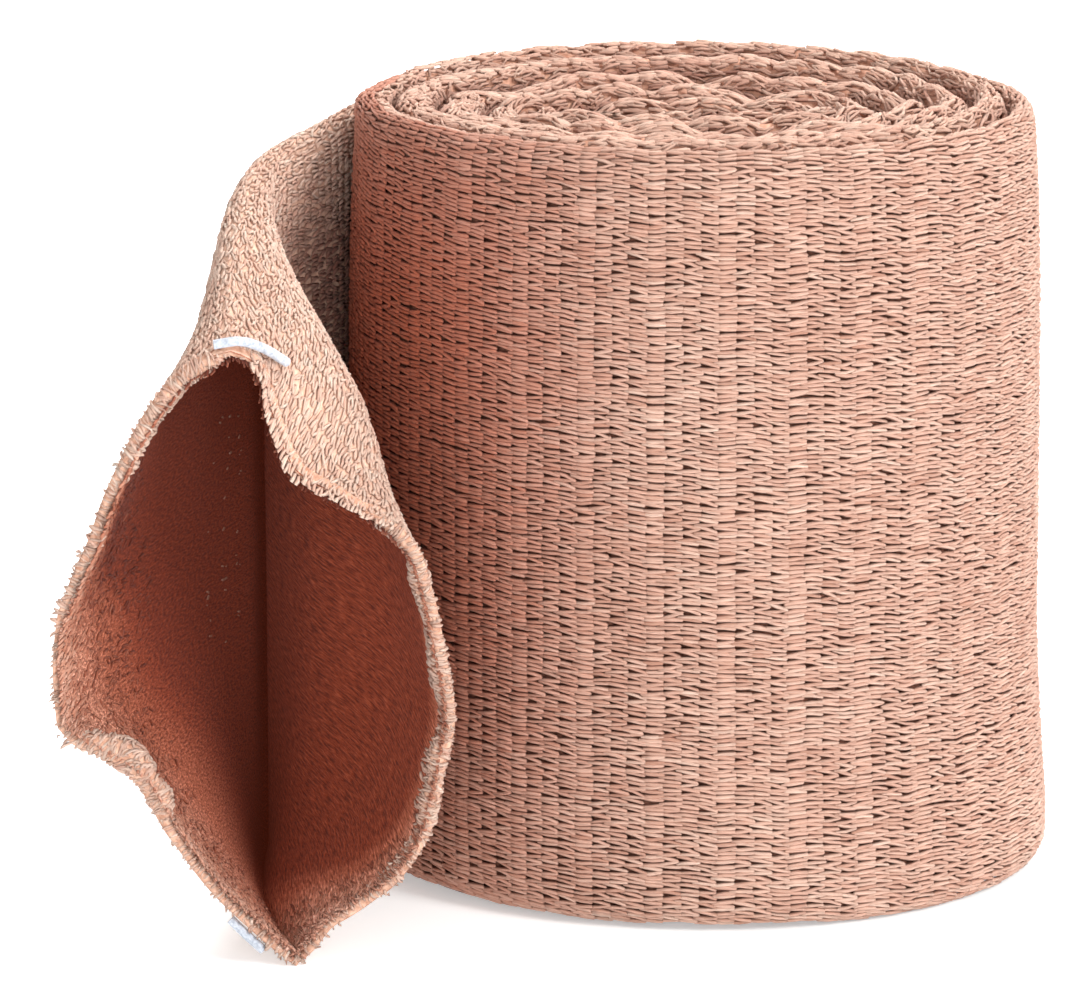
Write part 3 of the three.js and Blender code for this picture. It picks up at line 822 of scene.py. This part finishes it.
# %% [markdown]
# The yarn is slack on the folds, so it lies uneven and in waves. Down in the grooves painted shade darkens
# it.

# %% Stitches of the folds on top
FOLD_STITCH = dict(gap=0.50, opening=0.08, slope=-0.02, thick=0.90, climb=0.04, wave=0.18, relief=0.05,
                   stray=0.19, soft=0.65, stagger=0.45, longer=0.84)
GROOVE_FROM = 1.1
GROOVE_TO = 3.8
GROOVE_SHADE = 0.6

fold_spots = []
for c in np.arange(first_column, int((TAIL_LENGTH + WOUND_LENGTH) / COLUMN)):
    u = c * COLUMN - TAIL_LENGTH
    turn = np.interp(u, wound, turns)
    reach = 4.2 + 0.5 * min(turn, 4)
    for v in np.arange(-reach, 0.1 if turn < 1 else reach, WALE):
        fold_spots.append((c, u, v))
groove_depth = np.clip((np.abs(np.array(fold_spots)[:, 2]) - GROOVE_FROM) / (GROOVE_TO - GROOVE_FROM), 0, 1)
knit("fold_knit", fold_cloth, fold_spots, stitch_leg, yarn, **FOLD_STITCH,
                  deep=GROOVE_SHADE * groove_depth)

# %% [markdown]
# ## The loose end
# The loose end is a tube that is open at its mouth. Knit curls where it is cut, so the cloth of the tube
# stops a little before the mouth, and a rolled strip goes on from there. How wide and how far the edge is
# rolled is noted first, all round the mouth, because the tube has to start where the strip ends.

# %% Table of the curl
CURL = [("v", "radius", "turned", "half_thick"), (-87.5, 0.35, 100, 0.26), (-72, 0.4, 120, 0.26),
        (-66, 0.45, 140, 0.26), (-63, 0.9, 175, 0.26), (-59, 1.3, 185, 0.26), (-56, 1.3, 185, 0.26),
        (-53, 0.9, 160, 0.26), (-50, 0.35, 80, 0.26), (-38, 0.3, 70, 0.26), (-34, 0.4, 120, 0.26),
        (-24, 0.45, 150, 0.26), (-12, 0.55, 170, 0.26), (-8, 0.9, 180, 0.26), (-4, 1.15, 185, 0.26),
        (-2, 0.8, 130, 0.26), (0, 0.35, 60, 0.18), (2, 0.25, 30, 0.14), (22, 0.2, 15, 0.14),
        (25, 0.35, 80, 0.2), (30, 0.7, 160, 0.26), (42, 0.65, 185, 0.26), (62, 0.7, 185, 0.26),
        (68, 0.5, 150, 0.26), (78, 0.4, 110, 0.26), (87.5, 0.35, 100, 0.26)]
OUTERMOST = 0.3
CURL_FROM = -1.2
CURL_TO = 5.0
UNEVEN_PLACES = 59
curl_vs = np.linspace(-TUBE_WIDTH, TUBE_WIDTH, 701)
knots = np.linspace(-TUBE_WIDTH, TUBE_WIDTH, UNEVEN_PLACES)
curl_radius = column(CURL, "radius", curl_vs) * (
    1 + smooth_at(knots, chance.uniform(-0.35, 0.35, len(knots)), curl_vs))
curl_turned = np.radians(column(CURL, "turned", curl_vs))
curl_thick = column(CURL, "half_thick", curl_vs)
curl_start = curl_radius + 0.3 + smooth_at(knots, chance.uniform(-0.25, 0.25, len(knots)), curl_vs)
print(f"the edge is rolled to a radius of {curl_radius.min():.2f} to {curl_radius.max():.2f} mm")

# %% [markdown]
# The backing of the loose end is a sleeve with an outside and an inside. A table gives the painted shade
# inside: it starts to darken the colour at one distance from the mouth and is full at another.

# %% Backing of the loose end
BACKING_OUT = -0.14
INSIDE = -1.15
EDGE_INSIDE = [("v", "w"), (-2, INSIDE), (2, -0.5), (24, -0.5), (30, INSIDE)]
INSIDE_SHADE = [("v", "from", "to"), (-87.5, 2, 34), (-66, 2, 28), (-56, 1, 22), (-42, 0.5, 17), (-34, -0.5, 10),
        (-24, -1, 5), (-5, -1, 2), (24, -2, 1), (34, -1, 4), (60, -1, 5), (74, 0, 8), (87.5, 2, 30)]
RIGHT_DARKEST_SHADE = 0.86


def inside_shade(u, v):
    """How far painted shade has turned the colour to its deep tone at a place inside the tube."""
    start, end = column(INSIDE_SHADE, "from", v), column(INSIDE_SHADE, "to", v)
    return np.clip((u - start) / (end - start), 0, 1) * np.where(v > 8, RIGHT_DARKEST_SHADE, 1)


def inside_w(u, v):
    """Depth of the inside below the middle of the cloth's outside: the flat cut edge is thin."""
    return INSIDE + (column(EDGE_INSIDE, "w", v) - INSIDE) * np.exp(-(u / 2.5) ** 2)


def sleeve(name, cloth, us, vs, w_out, w_in, shade_rows=0.0):
    """A tube of cloth with an outside and an inside, which meet at both ends.

    us, w_out, w_in and the shade rows hold one row for each ring: the distances along the cloth, the two
    heights and how far painted shade darkens the colour. The rings go along the outside and come back along
    the inside, so one grid makes both."""
    shade_rows = np.broadcast_to(shade_rows, us.shape)
    us = np.concatenate((us, us[::-1], us[:1]))
    ws = np.concatenate((w_out, w_in[::-1], w_out[:1]))
    shade_rows = np.concatenate((shade_rows, shade_rows[::-1], shade_rows[:1]))
    us, ws, shade_rows = (np.concatenate((a, a[:, :1]), axis=1) for a in (us, ws, shade_rows))
    around = np.broadcast_to(np.append(vs, vs[0]), us.shape)
    bm = bmesh.new()
    cloth_place = bm.verts.layers.float_vector.new("cloth_place")
    deep = bm.verts.layers.float.new("deep")
    order = grid_through(bm, cloth.place(us, around, ws) * MM)
    for vert, u, v, d in zip(order, us.ravel(), around.ravel(), shade_rows.ravel()):
        vert[cloth_place] = (u, v, 0)
        vert[deep] = d
    bmesh.ops.remove_doubles(bm, verts=bm.verts, dist=1e-7)
    return finished_mesh(bm, name)


tube_vs = np.linspace(-TUBE_WIDTH, TUBE_WIDTH, 141)[:-1]
tube_from = np.interp(tube_vs, curl_vs, curl_start)
tube_us = tube_from + np.linspace(0, 1, 56)[:, None] ** 1.3 * (TAIL_LENGTH - tube_from)
tube_mesh = sleeve("loose tube", tail, tube_us, tube_vs, np.full(tube_us.shape, BACKING_OUT),
                   inside_w(tube_us, tube_vs), inside_shade(tube_us, tube_vs))
loose_tube = add_piece("loose_tube", tube_mesh, soft_backing, inside_cloth)
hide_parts("loose_end")

# %% [markdown]
# Nothing stretches the loose end, so its elastic draws the columns closer together towards the mouth, and
# its stitches lie close and wavy. Its top and right side are seen from near. High on the right its cut
# edge is ragged. The side that faces the roll gets the same warm painted shade as the roll.

# %% Stitches of the loose end
LOOSE_STITCH = dict(gap=0.49, opening=0.05, slope=0.0, thick=0.84, climb=0.04, wave=0.12, relief=0.05,
                    stray=0.13, soft=0.75, stagger=0.12)
RELAXED_COLUMN = 1.15
TAIL_WALES = 180
TOP_FROM_WALE = 82
TOP_TO_WALE = 136
FACING_FROM = (26, 4)  # u and v where the side that faces the roll begins
FACING_OVER = (26, 10)
FACING_SHADE = 0.75


def column_pitch(u):
    return RELAXED_COLUMN + (COLUMN - RELAXED_COLUMN) * (np.maximum(u, 0) / TAIL_LENGTH) ** 2


def ragged_edge(v):
    """How far the stitches reach past the mouth."""
    scallops = 0.7 * np.sin(v * 0.85) + 0.5 * np.sin(v * 2.3 + 1)
    return np.where((v > 2) & (v < 29), np.maximum(scallops, 0.3), -1.2)


tail_columns = [-0.35]
while tail_columns[-1] < TAIL_LENGTH - 0.6:
    tail_columns.append(tail_columns[-1] + column_pitch(tail_columns[-1]))
tail_wales = np.linspace(-TUBE_WIDTH, TUBE_WIDTH, TAIL_WALES + 1)[:-1]
for name, wales_here, base in (("loose_knit_left", tail_wales[:TOP_FROM_WALE], plain_leg),
                               ("loose_knit_top", tail_wales[TOP_FROM_WALE:TOP_TO_WALE], stitch_leg),
                               ("loose_knit_right", tail_wales[TOP_TO_WALE:], plain_leg)):
    spots = np.array([(i, u, v) for i, u in enumerate(tail_columns) for v in wales_here
                      if u > -0.1 - ragged_edge(v)])
    spots[:, 1] -= np.where(spots[:, 1] < 0, 0.5 * ragged_edge(spots[:, 2]) - 0.15, 0)
    facing = np.clip((spots[:, 1:] - FACING_FROM) / FACING_OVER, 0, 1).prod(axis=1)
    knit(name, tail, spots, base, slack_yarn, **LOOSE_STITCH, deep=FACING_SHADE * facing,
                           longer=0.78 * column_pitch(spots[:, 1]) / COLUMN)

# %% [markdown]
# ## The inside of the tube
# The reverse of this knit has no V. Near the cut edge it shows the small hooks where the yarn crosses
# behind the stitches. Deeper in they are too small to see one by one, and the material shows them as grain.
# Here and there pale points of slack yarn are painted light that shines through holes in the cloth.

# %% Strands of the reverse side
HOOKS_TO = [("v", "u"), (-87.5, 2.0), (-64, 2.0), (-54, 4.0), (-48, 5.5), (-38, 5.0), (-30, 2.0), (-20, 0.5),
            (30, 0.3), (50, 0.5), (66, 1.0), (87.5, 2.0)]
REVERSE_TO = [("v", "u"), (-87.5, 17), (-40, 19), (-20, 10), (0, 2), (24, 1), (60, 2), (72, 5), (87.5, 14)]


def uneven_places(u_end, u_pitch, v_pitch, reach):
    """Uneven places over the cloth near the mouth, fewer and fewer of them towards the given reach."""
    u, v = (a.ravel() for a in np.meshgrid(np.arange(0.1, u_end, u_pitch),
                                           np.arange(-TUBE_WIDTH, TUBE_WIDTH, v_pitch)))
    u = u + chance.normal(0, 0.3 * u_pitch, len(u))
    v = v + chance.normal(0, 0.3 * v_pitch, len(v))
    shown = chance.uniform(0, 1, len(u)) > (np.abs(u) / column(reach, "u", v)) ** 2
    return u[shown], v[shown]


# Painted shade of the reverse strands, spread at random.
def reverse_shade(u, v, spread):
    return np.clip(0.1 + 0.9 * inside_shade(u, v) ** 0.8 + chance.normal(0, spread, len(u)), 0, 1)


u, v = uneven_places(22, 0.7, 0.52, REVERSE_TO)
number = len(u)
strand = make_strand("strand", 0.85, 0.27, 0.27, 2)
depth = inside_w(u, v) - chance.normal(0.03, 0.05, number)
slant = chance.normal(0, np.where(v < 0, 0.8, 0.35)) - np.where(v > 0, SLANT, 0)
scatter("loose_reverse", strand, tail, u, v, depth, inner_yarn, turn=slant,
                          size=chance.normal(1, 0.15, number), stretch=np.where(v > 0, 1.5, 1.0), ridge=-1,
                          bow=chance.normal(0, 0.12, number), tilt=chance.normal(0, 0.1, number),
                          deep=reverse_shade(u, v, 0.09))
u, v = uneven_places(6, 0.75, 0.56, HOOKS_TO)
number = len(u)
hook = make_strand("hook", 1.35, 0.40, 0.40, 3)
depth = inside_w(u, v) - chance.normal(0.10, 0.05, number)
scatter("loose_hooks", hook, tail, u, v, depth, inner_yarn,
                          turn=chance.normal(0.15, 0.22, number),
                          size=chance.normal(0.95, 0.15, number), ridge=-1,
                          bow=chance.normal(0.1, 0.15, number), tilt=chance.normal(0, 0.1, number),
                          deep=reverse_shade(u, v, 0.07))

# %% Pale points of painted light through the cloth
LIGHT_POINT_COLUMNS = (28.5, 31.5, 34.0)
v = chance.uniform(-56, -27, 34)
number = len(v)
u = chance.choice(LIGHT_POINT_COLUMNS, number) + chance.normal(0, 0.3, number)
light_point = make_strand("light point", 0.45, 0.28, 0.28, 2)
scatter("loose_light_points", light_point, tail, u, v, inside_w(u, v) - 0.05, slack_yarn,
                          turn=chance.normal(0, 0.6, number), size=chance.uniform(0.4, 1.2, number))

# %% [markdown]
# ## The cut edge
# Round most of the mouth the edge rolls outwards and shows a row of loops across its back. High on the
# right it stays nearly flat, and only short ends of yarn stand out of it. The curl is one more piece of
# cloth: it goes on from the mouth along a circle of a changing radius.


# %% The curl as a grid
def curl_reach(v):
    return np.interp(v, curl_vs, curl_radius * curl_turned)


def curl_cloth():
    depth = np.minimum(OUTERMOST - curl_thick - curl_radius * (1 - np.cos(curl_turned)), -0.42)
    at_start = tail.place(curl_start, curl_vs, depth)
    forward = at_start - tail.place(curl_start + 1.5, curl_vs, depth)
    forward /= np.linalg.norm(forward, axis=1, keepdims=True)
    out = tail.place(curl_start, curl_vs, depth + 1) - at_start
    radius, turned = curl_radius[:, None], curl_turned[:, None]
    rows = []
    for s in np.linspace(CURL_FROM, CURL_TO, 80):
        angle = np.minimum(max(s, 0) / radius, turned)
        beyond = max(s, 0) - angle * radius + min(s, 0)
        rows.append(at_start + forward * (radius * np.sin(angle) + beyond * np.cos(angle))
                    + out * (radius * (1 - np.cos(angle)) + beyond * np.sin(angle)))
    return Cloth(np.array(rows), (CURL_FROM, CURL_TO), (-TUBE_WIDTH, TUBE_WIDTH), outward=-1)


curl = curl_cloth()

# %% The rolled strip of cloth
strip_vs = np.linspace(-TUBE_WIDTH, TUBE_WIDTH, 421)[:-1]
strip_rings = np.linspace(0, 1, 12)[:, None]
strip_us = CURL_FROM + strip_rings * (curl_reach(strip_vs) - CURL_FROM)
half_thick = np.interp(strip_vs, curl_vs, curl_thick) * np.ones_like(strip_us)
laid_down = 0.4 * np.clip(strip_us / CURL_FROM, 0, 1)
strip_mesh = sleeve("edge strip", curl, strip_us, strip_vs, half_thick - laid_down, -half_thick - laid_down)
edge = [add_piece("edge_strip", strip_mesh, edge_cloth, edge_cloth)]
# %% Loops over the rolled edge
loop = make_strand("loop", 1.6, 0.46, 0.42, 5)
loop_rows = []
for start in np.arange(-0.6, 4.5, 0.55):
    row_v = np.arange(-TUBE_WIDTH, TUBE_WIDTH, 0.58) + chance.uniform(0, 0.6)
    row_v = row_v[(curl_reach(row_v) > start) & ((row_v < 1) | (row_v > 27))]
    loop_rows.append(np.stack((np.full(len(row_v), start), row_v)))
loop_u, loop_v = np.concatenate(loop_rows, axis=1)
number = len(loop_u)
clump = smooth_at(knots, chance.uniform(-1, 1, len(knots)), loop_v)
above = np.interp(loop_v, curl_vs, curl_thick)
edge.append(scatter("edge_loops", loop, curl, loop_u + chance.normal(0, 0.2, number),
                    loop_v + chance.normal(0, 0.14, number), above + 0.05 + chance.normal(0, 0.06, number),
                    slack_yarn, turn=chance.normal(0.1, 0.3, number) + 0.35 * clump,
                    size=chance.normal(0.85, 0.2, number),
                    stretch=chance.uniform(0.75, 1.15, number) * np.where(np.abs(loop_v) > 66, 0.65, 1),
                    bow=chance.normal(0.2, 0.16, number), tilt=chance.normal(0, 0.05, number), soft=0.4,
                    deep=np.clip(chance.normal(0.05, 0.08, number) + 0.10 * clump, 0, 1)))

# %% Short cut ends of yarn
thin_end = make_strand("yarn end", 1.1, 0.24, 0.24, 2)
v = chance.uniform(-TUBE_WIDTH, TUBE_WIDTH, 30)
number = len(v)
edge.append(scatter("edge_yarn_ends", thin_end, curl, curl_reach(v) + chance.uniform(-0.7, 0.1, number), v,
                    chance.normal(0.15, 0.2, number), slack_yarn, turn=chance.normal(0, 0.7, number),
                    size=chance.uniform(0.5, 1.2, number), bow=chance.normal(0, 0.2, number),
                    tilt=chance.normal(0, 0.3, number), deep=chance.uniform(0, 0.3, number)))
tuft = make_strand("tuft", 1.3, 0.5, 0.5, 3, 4)
v = np.concatenate(((5.5, 7, 8.5, 10, 11, 31.5, 34), chance.uniform(1, 26, 16)))
number = len(v)
edge.append(scatter("edge_tufts", tuft, curl, curl_reach(v) + 0.25, v, chance.normal(0.1, 0.1, number),
                    slack_yarn, turn=chance.normal(0, 0.4, number), size=chance.uniform(0.6, 1.1, number),
                    bow=chance.normal(0, 0.25, number), tilt=chance.normal(-0.2, 0.2, number)))
# %% [markdown]
# ## Elastic thread ends
# The CAD threads have the right shape, so they stay and only get a finish.

# %% Finish of the thread ends
for name in ("elastic_end_top", "elastic_end_bottom"):
    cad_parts[name].data.materials.clear()
    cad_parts[name].data.materials.append(elastic)
print("thread ends finished")

# %% [markdown]
# ## Floor and light
# A pale floor and a soft world light give the plain studio look. The floor also glows faintly, so that it
# is as white as the paper sweep of a studio. The key light stands behind on the right, another lights the
# wall from the right front, and so the left of the roll falls into a warm shade. A weak front light
# reaches into the mouth, and a back light draws a pale line round the roll.

# %% Floor
floor_grid = bmesh.new()
bmesh.ops.create_grid(floor_grid, x_segments=1, y_segments=1, size=6)
floor_mesh = bpy.data.meshes.new("floor")
floor_grid.to_mesh(floor_mesh)
floor_grid.free()
floor = bpy.data.objects.new("floor", floor_mesh)
bpy.context.scene.collection.objects.link(floor)
paper, tree, shader = new_material("floor paper", 0.9)
shader.inputs["Base Color"].default_value = (0.84, 0.88, 0.90, 1)
shader.inputs["Emission Color"].default_value = (1, 1, 1, 1)
shader.inputs["Emission Strength"].default_value = 0.4
floor_mesh.materials.append(paper)
print("floor", tuple(floor.dimensions))

# %% Lights
LIGHT_COLOUR = (1.0, 0.99, 0.97)
LIGHT_TARGET = (0, 0, 0.045)


def area_light(name, place, size, power):
    light = bpy.data.objects.new(name, bpy.data.lights.new(name, "AREA"))
    light.data.shape = "DISK"
    light.data.size = size
    light.data.energy = power
    light.data.color = LIGHT_COLOUR
    light.location = place
    light.rotation_euler = (Vector(LIGHT_TARGET) - Vector(place)).to_track_quat("-Z", "Y").to_euler()
    bpy.context.scene.collection.objects.link(light)
    print(name, "light", power, "W")


area_light("key", (0.52, 0.30, 1.085), 0.5, 9)
area_light("front", (0.0, -1.16, 0.35), 0.7, 4)
area_light("right front", (0.78, -0.72, 0.62), 0.5, 9.5)
area_light("back", (0.0, 0.98, 0.73), 0.5, 12)

# %% [markdown]
# The world lights the roll with a slightly warm white. The camera sees another world behind it, plain white.

# %% World
world = bpy.data.worlds.new("studio")
world.use_nodes = True
tree = world.node_tree
sky = tree.nodes["Background"]
sky.inputs["Color"].default_value = (1.0, 0.96, 0.94, 1)
sky.inputs["Strength"].default_value = 0.72
seen = tree.nodes.new("ShaderNodeLightPath").outputs["Is Camera Ray"]
either = node(tree, "ShaderNodeMixShader", Fac=seen)
fill(tree, either.inputs[1], sky.outputs[0])
fill(tree, either.inputs[2], node(tree, "ShaderNodeBackground", Color=(1, 1, 1, 1)).outputs[0])
fill(tree, tree.nodes["World Output"].inputs["Surface"], either.outputs[0])
bpy.context.scene.world = world
bpy.context.scene.view_settings.view_transform = "Standard"
